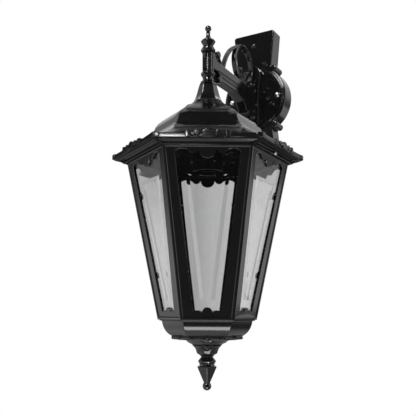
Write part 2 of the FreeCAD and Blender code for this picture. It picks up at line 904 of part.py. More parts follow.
def roof_washer():
    top = roof_top - roof_wall
    low = top - washer_thickness
    return bar(washer_radius, Vector(0, 0, low), Vector(0, 0, top)).cut(tube_hole(low - past, top + past))


def roof_nut():
    top = roof_top - roof_wall - washer_thickness
    return hex_prism(nut_radius, top - nut_height, top).cut(tube_hole(top - nut_height - past, top + past))


def hanger_tube():
    low = holder_top - holder_cap_height / 2
    high = column_top + tube_bite
    tube = bar(tube_radius, Vector(0, 0, low), Vector(0, 0, high))
    tube = tube.cut(bar(tube_bore, Vector(0, 0, low - past), Vector(0, 0, high + past)))
    side = Vector(0, tube_radius + past, wireway_rise)
    return tube.cut(bar(tube_bore * 0.8, Vector(0, 0, wireway_rise), side))


def lampholder_cap():
    drop = holder_cap_height
    edges = polyline([(0, holder_top), (holder_neck, holder_top), (holder_neck, holder_top - drop * 0.35)])
    bulge = (holder_radius * 0.86, holder_top - drop * 0.55)
    edges += [arc(edge_end(edges), bulge, (holder_radius, insert_top))]
    edges += polyline([(holder_radius, insert_top), (0, insert_top)])
    hollow = Vector(0, 0, insert_top + drop * 0.25)
    cuts = [bar(holder_radius - holder_wall, Vector(0, 0, insert_top - past), hollow)]
    cuts.append(bar(tube_radius + hole_gap, Vector(0, 0, insert_top), Vector(0, 0, holder_top + past)))
    return cut_all(turned(edges), cuts)


def lampholder_shell():
    shell = bar(holder_radius, Vector(0, 0, holder_foot), Vector(0, 0, insert_top))
    lip = Vector(0, 0, holder_foot + shell_lip_rise)
    band = bar(holder_radius + holder_wall, lip, lip + Vector(0, 0, shell_lip_height))
    low = Vector(0, 0, holder_foot - past)
    inside = bar(holder_radius - holder_wall, low, Vector(0, 0, insert_top + past))
    return fuse([shell, band]).cut(inside)


def lampholder_insert():
    radius = holder_radius - holder_wall - insert_gap
    low = insert_top - insert_height
    body = bar(radius, Vector(0, 0, low), Vector(0, 0, insert_top))
    for x in (-radius / 2, radius / 2):
        body = body.cut(bar(insert_hole_radius, Vector(x, 0, low - past), Vector(x, 0, insert_top + past)))
    return body


def lampholder_contacts():
    floor = insert_top - insert_height
    radius = holder_radius - holder_wall - sleeve_gap
    foot = holder_foot + sleeve_rise
    centre = bar(contact_radius, Vector(0, 0, floor - contact_height), Vector(0, 0, floor))
    sleeve = bar(radius, Vector(0, 0, foot), Vector(0, 0, floor))
    sleeve = sleeve.cut(bar(radius - sleeve_wall, Vector(0, 0, foot - past), Vector(0, 0, floor + past)))
    return [centre, sleeve]


# Cage faces: the face along +X, with its sideways place, its height and its depth below the surface
def hip_radius(z):
    return cage_foot_radius + cage_flare * (z - cage_foot)


def face_point(side, z, depth=0.0):
    return Vector(hip_radius(z) * flat, side, z) + inward * depth


def opening_half(z):
    share = (z - cage_foot) / cage_height
    return hip_radius(z) / 2 - jamb_foot - (jamb_top - jamb_foot) * share


# A straight-sided panel between two heights, given by its half width as a function of height
def panel(half_width, low, high, depth, thickness):
    foot = half_width(low)
    top = half_width(high)
    places = [(-foot, low), (foot, low), (top, high), (-top, high)]
    return prism([face_point(side, z, depth) for side, z in places], inward * thickness)


def face_arc(a, middle, b):
    return Part.Arc(*[face_point(*place) for place in (a, middle, b)]).toShape()


# The window's outline: lobes hanging from the top rail, bumps standing on the bottom one
def window():
    arch = opening_half(valance_z)
    foot = opening_half(foot_z)
    side_low = valance_z - side_lobe_depth
    far_lobe = (side_lobe_far, side_low + side_lobe_tuck)
    arch_top = ((side_lobe_far + arch) / 2 + arch_shift, valance_z)
    arch_end = (arch, valance_z - rail_reveal)
    cusp = (lobe_half, valance_z)
    right = [face_arc(cusp, (lobe_half + side_lobe_middle, side_low), far_lobe)]
    right.append(face_arc(far_lobe, arch_top, arch_end))
    right.append(Part.makeLine(face_point(*arch_end), face_point(foot, foot_z)))
    bump_side = ((foot + foot_bump_half) / 2, foot_z + foot_side_rise)
    right.append(face_arc((foot, foot_z), bump_side, (foot_bump_half, foot_z)))
    left = [edge.mirror(Vector(), Vector(0, 1, 0)) for edge in right]
    lobe = face_arc((-lobe_half, valance_z), (0, valance_z - lobe_depth), cusp)
    bump = face_arc((-foot_bump_half, foot_z), (0, foot_z + foot_bump_rise), (foot_bump_half, foot_z))
    return Part.Face(Part.Wire(Part.__sortEdges__([lobe, bump] + right + left)))


def side_frame():
    blank = panel(hip_radius, cage_foot - frame_thickness, cage_top + frame_thickness, 0, frame_thickness)
    reach = 2 * rim_radius
    spread = (reach - frame_seam) * math.tan(math.pi / 6)
    wedge = [Vector(x, y, cage_foot) for x, y in ((frame_seam, 0), (reach, spread), (reach, -spread))]
    frame = blank.common(prism(wedge, Vector(0, 0, cage_height)))
    field = panel(lambda z: hip_radius(z) / 2 - frame_border, cage_foot + frame_border,
                  skirt_foot - field_drop, -past, frame_recess + past)
    opening = window().translated(inward * -past).extrude(inward * (frame_thickness + 2 * past))
    rebate = panel(lambda z: opening_half(z) + glass_lap, rebate_foot, rebate_top, frame_web, frame_thickness)
    return cut_all(frame, [field, opening, rebate])


def closure_slot():
    width = closure_radius + closure_slot_gap
    start = Vector(skirt_flat - closure_slot_reach, 0, closure_z)
    slot = bar(width, start, Vector(skirt_flat, 0, closure_z))
    rise = cage_top - closure_z + past
    throat = Part.makeBox(closure_slot_reach, 2 * width, rise, start + Vector(0, -width, 0))
    return fuse([slot, throat])


def cup_screw_axis():
    z = cage_foot + cup_screw_rise
    return face_point(0, z).x - frame_thickness / math.cos(lean), z


def cup_screw_hole():
    inside, z = cup_screw_axis()
    start = Vector(inside - frame_thickness, 0, z)
    return bar(cup_screw_radius + hole_gap, start, Vector(inside + cup_screw_bite, 0, z))


def side_frames():
    plain = side_frame().cut(cup_screw_hole())
    frames = six_times(plain)
    frames[0] = plain.cut(closure_slot())
    frames[3] = to_hidden_side(plain.cut(fuse(cage_rivet_holes())))
    return frames


# A pane: a thin border held in the frame and a slightly raised field with a bevelled edge
def glass_pane():
    depth = frame_web + glass_seat_gap
    edge = glass_lap - glass_edge_gap
    border = panel(lambda z: opening_half(z) + edge, foot_z - edge, valance_z + edge, depth, glass_thickness)
    wires = []
    for inset, rise in ((0, -bevel_sink), (bevel_width, bevel_rise)):
        low = foot_z + bevel_end_margin + inset
        high = valance_z - lobe_depth - bevel_end_margin - inset
        points = []
        for side, z in ((-1, low), (1, low), (1, high), (-1, high)):
            points.append(face_point(side * (opening_half(z) - bevel_margin - inset), z, depth - rise))
        wires.append(Part.makePolygon(points + points[:1]))
    return border.fuse(Part.makeLoft(wires, True, True)).removeSplitter()


def glass_clips():
    clips = []
    for height in (0.25, 0.75):
        low = cage_foot + cage_height * height
        high = low + clip_width
        edge = opening_half(low) + glass_lap
        near = edge - clip_reach
        far = edge + clip_land
        for side in (1, -1):
            places = [(near, low), (far, low), (far, high), (near, high)]
            points = [face_point(side * s, z, frame_thickness) for s, z in places]
            clips.append(prism(points, inward * clip_thickness))
    return six_times(Part.makeCompound(clips))


# The cup: a thin lip under the cage's foot, a spigot inside it, a hollow bell and the trumpet
def bottom_cup():
    neck = cage_foot - cup_depth * 0.37
    waist = cage_foot - cup_depth * 0.68
    outside = [(cup_top_radius, cage_foot), (cup_top_radius - 1.5, neck)]
    outside += [(cup_waist_radius, waist), (cup_band_radius, cup_band_top)]
    inside = [(cup_top_radius - cup_rim_wall, cage_foot - cup_lip)]
    inside += [(cup_waist_radius - cup_wall, waist), (cup_band_radius - cup_wall, cup_band_top + cup_floor)]
    lip = hex_prism(cage_foot_radius - cup_lip_setback, cage_foot - cup_lip, cage_foot)
    spigot = hex_prism(spigot_radius, cage_foot - cup_lip, cage_foot + spigot_height)
    band = hex_prism(cup_band_radius + band_lip, trumpet_top, cup_band_top)
    body = fuse([hex_turned([spline(outside)]), lip, spigot, band, trumpet(0)])
    cuts = [hex_turned([spline(inside)])]
    cuts.append(hex_prism(spigot_inner_radius, cage_foot, cage_foot + spigot_height + past))
    cuts.append(hex_prism(spigot_inner_radius - cup_shelf, cage_foot - cup_lip - past, cage_foot + past))
    stud_top = trumpet_end + stud_length + hole_gap
    cuts.append(bar(stud_radius + hole_gap, Vector(0, 0, trumpet_end - past), Vector(0, 0, stud_top)))
    return cut_all(body, cuts + six_times(cup_screw_hole()))


def cup_screws():
    inside, z = cup_screw_axis()
    seat = spigot_radius * flat - spigot_wall
    shank = bar(cup_screw_radius, Vector(seat, 0, z), Vector(inside + cup_screw_bite - hole_gap, 0, z))
    head = bar(cup_screw_head, Vector(seat - cup_screw_radius, 0, z), Vector(seat, 0, z))
    return six_times(fuse([shank, head]))


# The trumpet foot, made larger by an even margin where room or a petal is wanted
def trumpet(margin):
    flare = [(trumpet_radius, 0), ((trumpet_radius + trumpet_foot) * 0.47, 0.42)]
    flare += [(trumpet_foot * 1.11, 0.8), (trumpet_foot, 1)]
    points = [(radius + margin, trumpet_top - trumpet_height * share) for radius, share in flare]
    neck = polyline([(0, trumpet_top + past), (points[0][0], trumpet_top + past), points[0]])
    return turned(neck + [spline(points), line(points[-1], (0, trumpet_end))])


# Broad petals that hug the trumpet, with a rounded notch between neighbours
def petals():
    top = trumpet_end + petal_height
    reach = bar(trumpet_radius, Vector(0, 0, trumpet_end), Vector(0, 0, top))
    ring = trumpet(petal_gap + petal_thickness).common(reach).cut(trumpet(petal_gap))
    for k in range(petal_count):
        angle = petal_turn + 360 * k / petal_count
        ring = ring.cut(bar(petal_notch, corner(past, top, angle), corner(trumpet_radius, top, angle)))
    return ring


# Petals, a waisted stem with a ring, a six-sided spike and a ball
def bottom_finial():
    z = trumpet_end
    ring_z = z - stem_height * 0.6
    rim = trumpet_foot + petal_gap + petal_thickness
    edges = polyline([(0, z), (rim, z)])
    edges += [arc((rim, z), (rim - 0.8, z - 1.2), (rim - 2.4, z - 1.8))]
    edges += polyline([edge_end(edges), (stem_neck, z - stem_height * 0.3), (stem_ring, ring_z + ring_half)])
    edges += polyline([edge_end(edges), (stem_ring, ring_z - ring_half)])
    edges += polyline([edge_end(edges), (stem_ring - 1.6, z - stem_height * 0.8)])
    edges += polyline([edge_end(edges), (stem_ring - 1.2, spike_top), (0, spike_top)])
    shoulder = (spike_radius - spike_shoulder, spike_top + spike_shoulder)
    spike = hex_turned(polyline([shoulder, (spike_radius, spike_top), (spike_tip, spike_end)]), 0)
    ball = Part.makeSphere(foot_ball, Vector(0, 0, spike_end - foot_ball * 0.75))
    stud = bar(stud_radius, Vector(0, 0, z - past), Vector(0, 0, z + stud_length))
    return fuse([turned(edges), petals(), spike, ball, stud])


def pin_hole():
    reach = Vector(0, knuckle_half + pin_overhang + past, 0)
    middle = Vector(hinge_x, 0, hinge_z)
    return bar(pin_radius + running_gap, middle - reach, middle + reach)


def knuckle(x, half):
    return bar(knuckle_radius, Vector(x, -half, hinge_z), Vector(x, half, hinge_z))


def hinge_roof_leaf():
    top = fascia_foot - knuckle_gap
    low = Vector(-skirt_flat - hinge_plate, -knuckle_half, hinge_z)
    plate = Part.makeBox(hinge_plate, 2 * knuckle_half, top - hinge_z, low)
    leaf = fuse([plate, knuckle(hinge_x, knuckle_half)])
    half = knuckle_middle + knuckle_gap
    low = Vector(hinge_x - 2 * knuckle_radius, -half, hinge_z - 2 * knuckle_radius)
    gap = Part.makeBox(4 * knuckle_radius, 2 * half, 3 * knuckle_radius + knuckle_drop, low)
    cuts = [gap, pin_hole()]
    for y in rivet_places:
        start = Vector(-skirt_flat - hinge_plate - past, y, rivet_z)
        cuts.append(bar(rivet_radius + hole_gap, start, Vector(-skirt_flat + past, y, rivet_z)))
    return cut_all(leaf, cuts)


def cage_leaf_places():
    top = valance_z + rail_reveal / 2
    return top, top - cage_leaf_length


# The leaf is drawn on the face along +X and turned to the hidden side
def hinge_cage_leaf():
    top, low = cage_leaf_places()
    plate = panel(lambda z: knuckle_middle, low, top, frame_recess - hinge_plate, hinge_plate)
    inner = face_point(0, hinge_z).x
    start = Vector(inner, -knuckle_middle, hinge_z - hinge_plate / 2)
    reach = Part.makeBox(-hinge_x - inner, 2 * knuckle_middle, hinge_plate, start)
    leaf = to_hidden_side(fuse([plate, reach, knuckle(-hinge_x, knuckle_middle)]))
    return cut_all(leaf, [pin_hole()] + [to_hidden_side(hole) for hole in cage_rivet_holes()])


def cage_rivet_points():
    top, low = cage_leaf_places()
    z = low + rivet_head + rivet_edge
    return [(side * knuckle_middle / 2, z) for side in (1, -1)]


def cage_rivet_holes():
    radius = rivet_radius + hole_gap
    ends = (-2 * hinge_plate, frame_web + past)
    return [bar(radius, face_point(s, z, ends[0]), face_point(s, z, ends[1])) for s, z in cage_rivet_points()]


def cage_leaf_rivets():
    seat = frame_recess - hinge_plate
    rivets = []
    for s, z in cage_rivet_points():
        shank = bar(rivet_radius, face_point(s, z, seat), face_point(s, z, frame_web))
        head = bar(rivet_head, face_point(s, z, seat - rivet_head_height), face_point(s, z, seat))
        rivets.append(to_hidden_side(fuse([shank, head])))
    return rivets


def roof_leaf_rivets():
    face = -skirt_flat - hinge_plate
    rivets = []
    for y in rivet_places:
        seat = Vector(face, y, rivet_z)
        shank = bar(rivet_radius, seat, Vector(-skirt_flat + skirt_wall, y, rivet_z))
        rivets.append(fuse([shank, bar(rivet_head, seat - Vector(rivet_head_height, 0, 0), seat)]))
    return rivets


def hinge_pin():
    reach = knuckle_half + pin_overhang
    pin = bar(pin_radius, Vector(hinge_x, -reach, hinge_z), Vector(hinge_x, reach, hinge_z))
    seat = Vector(hinge_x, knuckle_half + running_gap, hinge_z)
    head = bar(pin_head, seat, seat + Vector(0, 2 * pin_overhang, 0))
    return fuse([pin, head])


def closure_screw():
    face = Vector(skirt_flat, 0, closure_z)
    shank = bar(closure_radius, face - Vector(skirt_wall + frame_web, 0, 0), face)
    top = skirt_flat + closure_head_height
    head = bar(closure_head, face, Vector(top, 0, closure_z))
    rim = [e for e in head.Edges if e.BoundBox.XMin > top - tiny]
    head = head.makeFillet(closure_head_height * 0.4, rim)
    width = closure_head * 0.3
    low = Vector(top - closure_head_height * 0.4, -2 * closure_head, closure_z - width / 2)
    slot = Part.makeBox(closure_head_height, 4 * closure_head, width, low)
    return fuse([shank, head]).cut(slot)


def save(name, shape):
    if isinstance(shape, list):
        shape = Part.makeCompound(shape)
    if not shape.isValid():
        print("not valid:", name)
    shape.exportStep("parts/" + name + ".step")
    print(name, len(shape.Solids), round(shape.Volume))


def save_at_lamp(name, shape):
    if isinstance(shape, list):
        shape = Part.makeCompound(shape)
    save(name, at_lamp(shape))


os.makedirs("parts", exist_ok=True)
save("wall_plate", wall_plate())
save("mounting_bracket", mounting_bracket())
save("side_screws", plate_screws(side_screw_places))
save("tail_screws", plate_screws(tail_screw_places))
save("arm_screws", arm_screws())
save("earth_screw", earth_screw())
save("terminal_block", terminal_block())
save("terminal_screws", terminal_screws())
save("bracket_arm", bracket_arm())
save_at_lamp("top_finial", top_finial())
save_at_lamp("neck_collar", neck_collar())
save_at_lamp("hanger_tube", hanger_tube())
save_at_lamp("crown", crown())
save_at_lamp("roof", roof())
save_at_lamp("roof_washer", roof_washer())
save_at_lamp("roof_nut", roof_nut())
save_at_lamp("lampholder_cap", lampholder_cap())
save_at_lamp("lampholder_shell", lampholder_shell())
save_at_lamp("lampholder_insert", lampholder_insert())
save_at_lamp("lampholder_contacts", lampholder_contacts())
for number, frame in enumerate(side_frames(), 1):
    save_at_lamp("side_frame_%d" % number, frame)
for number, pane in enumerate(six_times(glass_pane()), 1):
    save_at_lamp("glass_pane_%d" % number, pane)
save_at_lamp("glass_clips", glass_clips())
save_at_lamp("bottom_cup", bottom_cup())
save_at_lamp("cup_screws", cup_screws())
save_at_lamp("bottom_finial", bottom_finial())
save_at_lamp("hinge_roof_leaf", hinge_roof_leaf())
save_at_lamp("hinge_cage_leaf", hinge_cage_leaf())
save_at_lamp("hinge_pin", hinge_pin())
save_at_lamp("roof_leaf_rivets", roof_leaf_rivets())
save_at_lamp("cage_leaf_rivets", cage_leaf_rivets())
save_at_lamp("closure_screw", closure_screw())
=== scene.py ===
import bpy
import json
import math
from mathutils import Matrix, Vector

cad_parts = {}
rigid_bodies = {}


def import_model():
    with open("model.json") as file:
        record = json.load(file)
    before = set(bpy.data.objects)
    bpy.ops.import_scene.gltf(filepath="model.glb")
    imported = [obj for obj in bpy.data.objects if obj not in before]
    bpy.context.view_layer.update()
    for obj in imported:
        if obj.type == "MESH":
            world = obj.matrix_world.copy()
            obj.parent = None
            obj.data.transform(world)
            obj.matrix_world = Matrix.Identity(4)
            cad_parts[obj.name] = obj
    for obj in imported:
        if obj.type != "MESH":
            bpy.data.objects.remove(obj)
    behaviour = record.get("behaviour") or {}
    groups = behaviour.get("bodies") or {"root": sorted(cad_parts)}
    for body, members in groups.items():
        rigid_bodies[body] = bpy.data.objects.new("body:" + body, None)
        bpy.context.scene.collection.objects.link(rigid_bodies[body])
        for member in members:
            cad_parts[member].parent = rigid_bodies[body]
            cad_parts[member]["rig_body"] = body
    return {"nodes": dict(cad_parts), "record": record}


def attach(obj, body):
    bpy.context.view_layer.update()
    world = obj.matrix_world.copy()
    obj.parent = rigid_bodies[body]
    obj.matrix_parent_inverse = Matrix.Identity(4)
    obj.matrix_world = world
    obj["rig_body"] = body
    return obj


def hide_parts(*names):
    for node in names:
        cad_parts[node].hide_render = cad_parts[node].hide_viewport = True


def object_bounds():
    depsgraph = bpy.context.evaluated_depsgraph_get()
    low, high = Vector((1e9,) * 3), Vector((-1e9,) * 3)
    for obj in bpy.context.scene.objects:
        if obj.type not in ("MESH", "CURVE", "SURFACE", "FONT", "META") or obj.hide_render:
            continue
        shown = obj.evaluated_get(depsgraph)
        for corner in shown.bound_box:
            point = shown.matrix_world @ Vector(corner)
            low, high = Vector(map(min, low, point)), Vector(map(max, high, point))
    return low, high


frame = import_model()
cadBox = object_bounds()
scene = bpy.context.scene
scene.view_settings.view_transform = "Standard"
mm = 0.001
sides = 6
lampAxis = Vector((0, -0.1575, 0))  # the lantern's upright middle line
print("frame loaded,", len(frame["nodes"]), "nodes")


class Flow:  # a shader socket that takes part in sums
    def __init__(self, tree, socket=None):
        self.tree = tree
        self.socket = socket

    def node(self, kind, settings, values, output=0):
        made = self.tree.nodes.new(kind)
        for name, value in settings.items():
            if name == "stops":
                setStops(made.color_ramp, value)
            else:
                setattr(made, name, value)
        for name, value in values.items():
            if isinstance(value, Flow):
                self.tree.links.new(value.socket, made.inputs[name])
            else:
                made.inputs[name].default_value = value
        return Flow(self.tree, made.outputs[output])

    def math(self, operation, first, second):
        return self.node("ShaderNodeMath", {"operation": operation}, {0: first, 1: second})

    def __add__(self, other):
        return self.math("ADD", self, other)

    def __radd__(self, other):
        return self.math("ADD", other, self)

    def __sub__(self, other):
        return self.math("SUBTRACT", self, other)

    def __rsub__(self, other):
        return self.math("SUBTRACT", other, self)

    def __mul__(self, other):
        return self.math("MULTIPLY", self, other)

    def __rmul__(self, other):
        return self.math("MULTIPLY", other, self)


def setStops(ramp, stops):
    while len(ramp.elements) < len(stops):
        ramp.elements.new(1)
    for element, (place, colour) in zip(ramp.elements, stops):
        element.position = place
        element.color = colour


def newFinish(name):
    finish = bpy.data.materials.new(name)
    finish.use_nodes = True
    finish.node_tree.nodes.clear()
    return finish, Flow(finish.node_tree)


def objectPlace(flow):
    return flow.node("ShaderNodeTexCoord", {}, {}, "Object")


def noise(flow, place, scale, detail=2.0):
    return flow.node("ShaderNodeTexNoise", {}, {"Vector": place, "Scale": scale, "Detail": detail}, "Fac")


def mixColour(flow, share, first, second):
    return flow.node("ShaderNodeMix", {"data_type": "RGBA"}, {"Factor": share, 6: first, 7: second}, 2)


def bump(flow, height, strength, depth):
    return flow.node("ShaderNodeBump", {}, {"Height": height, "Strength": strength, "Distance": depth})


def closeShader(flow, shader, kind="ShaderNodeOutputMaterial"):
    output = flow.tree.nodes.new(kind)
    flow.tree.links.new(shader.socket, output.inputs["Surface"])


def closeFinish(flow, values):
    closeShader(flow, flow.node("ShaderNodeBsdfPrincipled", {}, values))


paints = {  # the gloss coat outside, and a darker, duller copy of it that paints shade inside and under the roof
    "blackPaint": {"dark": (0.0042, 0.0042, 0.0045, 1), "dusty": (0.0065, 0.0065, 0.0068, 1),
                   "gloss": 0.09, "dull": 0.06, "shine": 0.5, "peelScale": 520, "peelDepth": 0.000045},
    # painted shade: darker and less shiny than the outside coat, for faces in the roof's hollow and
    # underside
    "shadedInsidePaint": {"dark": (0.0030, 0.0030, 0.0032, 1), "dusty": (0.0050, 0.0050, 0.0052, 1),
                    "gloss": 0.42, "dull": 0.15, "shine": 0.12, "peelScale": 620, "peelDepth": 0.00004},
}
coat = {  # the same for both paints
    "cloudScale": 45, "cloudDetail": 4, "peelDetail": 1.5, "peelStrength": 0.5, "ior": 1.5,
}


def makePaint(name):
    paint = paints[name]
    finish, flow = newFinish(name)
    place = objectPlace(flow)
    cloud = noise(flow, place, coat["cloudScale"], coat["cloudDetail"])
    peel = noise(flow, place, paint["peelScale"], coat["peelDetail"])
    colour = mixColour(flow, cloud, paint["dark"], paint["dusty"])
    normal = bump(flow, peel, coat["peelStrength"], paint["peelDepth"])
    closeFinish(flow, {"Base Color": colour, "Roughness": paint["gloss"] + cloud * paint["dull"],
                       "Normal": normal, "IOR": coat["ior"], "Specular IOR Level": paint["shine"]})
    return finish


glass = {"colour": (0.70, 0.703, 0.703, 1), "smear": 0.03, "smearScale": 18, "smearDetail": 3, "ior": 1.46}


def makeGlass():
    finish, flow = newFinish("clearGlass")
    smear = noise(flow, objectPlace(flow), glass["smearScale"], glass["smearDetail"])
    closeFinish(flow, {"Base Color": glass["colour"], "Roughness": smear * glass["smear"],
                       "Transmission Weight": 1.0, "IOR": glass["ior"]})
    return finish


metals = {
    "brightSteel": {"light": (0.78, 0.78, 0.78, 1), "deep": (0.60, 0.60, 0.61, 1),
                    "rough": 0.2, "grain": 900},
    # painted shade: a darkened steel for the glass clips inside the lantern
    "shadedSteel": {"light": (0.05, 0.05, 0.05, 1), "deep": (0.03, 0.03, 0.03, 1),
                  "rough": 0.4, "grain": 900},
    "brass": {"light": (0.80, 0.58, 0.26, 1), "deep": (0.62, 0.42, 0.17, 1),
              "rough": 0.24, "grain": 700},
}
brushed = {"stretch": (1, 1, 0.08), "detail": 3, "spread": 0.15}  # upright grain, and how far it dulls


def makeMetal(name):
    values = metals[name]
    finish, flow = newFinish(name)
    place = objectPlace(flow)
    stretch = flow.node("ShaderNodeMapping", {}, {"Vector": place, "Scale": brushed["stretch"]})
    grain = noise(flow, stretch, values["grain"], brushed["detail"])
    colour = mixColour(flow, grain, values["deep"], values["light"])
    roughness = values["rough"] + grain * brushed["spread"]
    closeFinish(flow, {"Base Color": colour, "Roughness": roughness, "Metallic": 1.0})
    return finish


mouldings = {
    "whitePlastic": {"light": (0.82, 0.81, 0.77, 1), "deep": (0.72, 0.71, 0.67, 1),
                     "rough": 0.38, "grain": 400},
    "blackPlastic": {"light": (0.020, 0.020, 0.020, 1), "deep": (0.012, 0.012, 0.012, 1),
                     "rough": 0.25, "grain": 500},
    "porcelain": {"light": (0.86, 0.85, 0.82, 1), "deep": (0.80, 0.79, 0.76, 1),
                  "rough": 0.14, "grain": 200},
}
moulded = {"strength": 0.3, "depth": 0.00003, "spread": 0.08}  # the grain's bump, and how far it dulls


def makeMoulding(name):
    values = mouldings[name]
    finish, flow = newFinish(name)
    grain = noise(flow, objectPlace(flow), values["grain"])
    normal = bump(flow, grain, moulded["strength"], moulded["depth"])
    closeFinish(flow, {"Base Color": mixColour(flow, grain, values["deep"], values["light"]),
                       "Roughness": values["rough"] + grain * moulded["spread"], "Normal": normal})
    return finish


finishes = {
    "black_paint": makePaint("blackPaint"),
    # the second paint is painted shade for the roof's inside and under faces and for the lampholder
    "shaded_inside_paint": makePaint("shadedInsidePaint"),
    "clear_glass": makeGlass(),
    "bright_steel": makeMetal("brightSteel"),
    "brass": makeMetal("brass"),
    # painted shade: steel darkened for the clips behind the glass
    "shaded_steel": makeMetal("shadedSteel"),
    "white_plastic": makeMoulding("whitePlastic"),
    "black_plastic": makeMoulding("blackPlastic"),
    "porcelain": makeMoulding("porcelain"),
}
print("finishes made,", len(finishes))


def deselectAll():
    if bpy.context.object and bpy.context.object.mode == "EDIT":
        bpy.ops.object.mode_set(mode="OBJECT")
    bpy.ops.object.select_all(action="DESELECT")


def makeActive(piece):
    deselectAll()
    piece.select_set(True)
    bpy.context.view_layer.objects.active = piece


slotOfNode = {}
for entry in frame["record"]["subparts"]:
    slotOfNode[entry["node"]] = entry["material_slot"]
shadedBehindGlass = {  # painted shade: darker, duller finishes for the pieces behind the glass, inside the lantern
    "glass_clips": "shaded_steel",
    "lampholder_cap": "shaded_inside_paint",
    "lampholder_shell": "shaded_inside_paint",
}
for nodeName, node in frame["nodes"].items():  # the nodes that stay get the finishes above
    node.data.materials.clear()
    node.data.materials.append(finishes[shadedBehindGlass.get(nodeName, slotOfNode[nodeName])])

castings = {  # edge rounding and the shortest edge that is rounded, in millimetres
    "wall_plate": {"width": 0.5, "least": 3.0}, "top_finial": {"width": 0.3, "least": 0.2},
    "neck_collar": {"width": 0.35, "least": 0.2}, "crown": {"width": 0.7, "least": 1.0},
    "roof": {"width": 0.6, "least": 3.5}, "bottom_cup": {"width": 0.6, "least": 1.0},
    "bottom_finial": {"width": 0.35, "least": 0.5}, "bracket_arm": {"width": 0, "least": 0},
}
for number in range(sides):
    castings["side_frame_%d" % (number + 1)] = {"width": 0.7, "least": 1.0}
rounding = {  # merging distance in metres, angles in degrees, and limits of a face's direction
    "merge": 0.000002, "flat": 1, "sharp": 35, "smooth": 32, "segments": 2,
    "level": 0.99, "outer": -0.2, "inward": -0.05, "under": -0.5,
}


def outFrom(point):  # the level direction from the lamp's axis to a point
    ray = point - lampAxis
    ray.z = 0
    return ray.normalized()


def pickEdges(mesh, least):  # keeps the sharp outer edges that are long enough
    facing = {}
    for face in mesh.polygons:
        for key in face.edge_keys:
            facing.setdefault(key, Vector()).xyz += face.normal
    for edge in mesh.edges:
        a, b = [mesh.vertices[index].co for index in edge.vertices]
        outer = facing[edge.key].dot(outFrom((a + b) / 2)) > rounding["outer"]
        edge.select = edge.select and outer and (a - b).length > least * mm


def roundedCopy(nodeName):
    values = castings[nodeName]
    node = frame["nodes"][nodeName]
    piece = bpy.data.objects.new(nodeName + "_cast", node.data.copy())
    scene.collection.objects.link(piece)
    makeActive(piece)
    bpy.ops.object.mode_set(mode="EDIT")
    bpy.ops.mesh.select_all(action="SELECT")
    bpy.ops.mesh.remove_doubles(threshold=rounding["merge"])
    bpy.ops.mesh.select_mode(type="FACE")
    bpy.ops.object.mode_set(mode="OBJECT")
    for face in piece.data.polygons:  # level rings stay as triangles, as a face can't have a hole
        face.select = abs(face.normal.z) < rounding["level"]
    bpy.ops.object.mode_set(mode="EDIT")
    bpy.ops.mesh.dissolve_limited(angle_limit=math.radians(rounding["flat"]))
    if values["width"]:
        bpy.ops.mesh.select_mode(type="EDGE")
        bpy.ops.mesh.select_all(action="DESELECT")
        bpy.ops.mesh.edges_select_sharp(sharpness=math.radians(rounding["sharp"]))
        bpy.ops.object.mode_set(mode="OBJECT")
        pickEdges(piece.data, values["least"])
        bpy.ops.object.mode_set(mode="EDIT")
        bpy.ops.mesh.bevel(offset=values["width"] * mm, segments=rounding["segments"], affect="EDGES",
                           clamp_overlap=False)
    bpy.ops.object.mode_set(mode="OBJECT")
    bpy.ops.object.shade_smooth_by_angle(angle=math.radians(rounding["smooth"]))
    weigh = piece.modifiers.new("weigh", "WEIGHTED_NORMAL")
    weigh.keep_sharp = True
    bpy.ops.object.modifier_apply(modifier="weigh")
    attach(piece, node["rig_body"])
    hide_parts(nodeName)
    return piece


def shadeInside(piece):  # painted shade: the inner and under faces of the roof take the darker, duller copy of the paint
    piece.data.materials.append(finishes["shaded_inside_paint"])
    for face in piece.data.polygons:
        inner = face.normal.dot(outFrom(face.center)) < rounding["inward"]
        if inner or face.normal.z < rounding["under"]:
            face.material_index = 1


for nodeName in castings:
    piece = roundedCopy(nodeName)
    if nodeName == "roof":
        # painted shade on the roof's inner and under faces
        shadeInside(piece)
    print("rounded", piece.name, len(piece.data.polygons), "faces")


def startPiece(name, add, **values):
    deselectAll()
    add(**values)
    piece = bpy.context.object
    piece.name = name
    return piece


def openPiece(piece, test=None):  # edit mode, with all points or those that pass a test selected
    makeActive(piece)
    bpy.ops.object.mode_set(mode="EDIT")
    bpy.ops.mesh.select_mode(type="VERT")
    bpy.ops.mesh.select_all(action="DESELECT" if test else "SELECT")
    if test:
        bpy.ops.object.mode_set(mode="OBJECT")
        for point in piece.data.vertices:
            point.select = test(point.co)
        bpy.ops.object.mode_set(mode="EDIT")


def scaleBy(x, y, z):
    bpy.ops.transform.resize(value=(x, y, z), center_override=(0, 0, 0))


def slideOut(distance):
    bpy.ops.transform.translate(value=(distance, 0, 0))


def turned(angle, axis):
    return Matrix.Rotation(math.radians(angle), 4, axis)


def closeModifier(piece, name):
    makeActive(piece)
    bpy.ops.object.modifier_apply(modifier=name)


def repeatAlong(piece, count, step):
    row = piece.modifiers.new("row", "ARRAY")
    row.count = count
    row.use_relative_offset = False
    row.use_constant_offset = True
    row.constant_offset_displace = Vector(step) * mm
    closeModifier(piece, "row")


def mirrorPiece(piece, axes):
    mirror = piece.modifiers.new("mirror", "MIRROR")
    mirror.use_axis = axes
    closeModifier(piece, "mirror")


trimFinish = {"merge": 0.000001, "smooth": 40, "petalSmooth": 60}  # metres and degrees


def cleanPiece(piece, smooth):
    openPiece(piece)
    bpy.ops.mesh.remove_doubles(threshold=trimFinish["merge"])
    bpy.ops.mesh.normals_make_consistent(inside=False)
    makeActive(piece)
    bpy.ops.object.shade_smooth_by_angle(angle=math.radians(smooth))


def fitPiece(piece, body):
    piece.data.materials.clear()
    piece.data.materials.append(finishes["black_paint"])
    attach(piece, body)


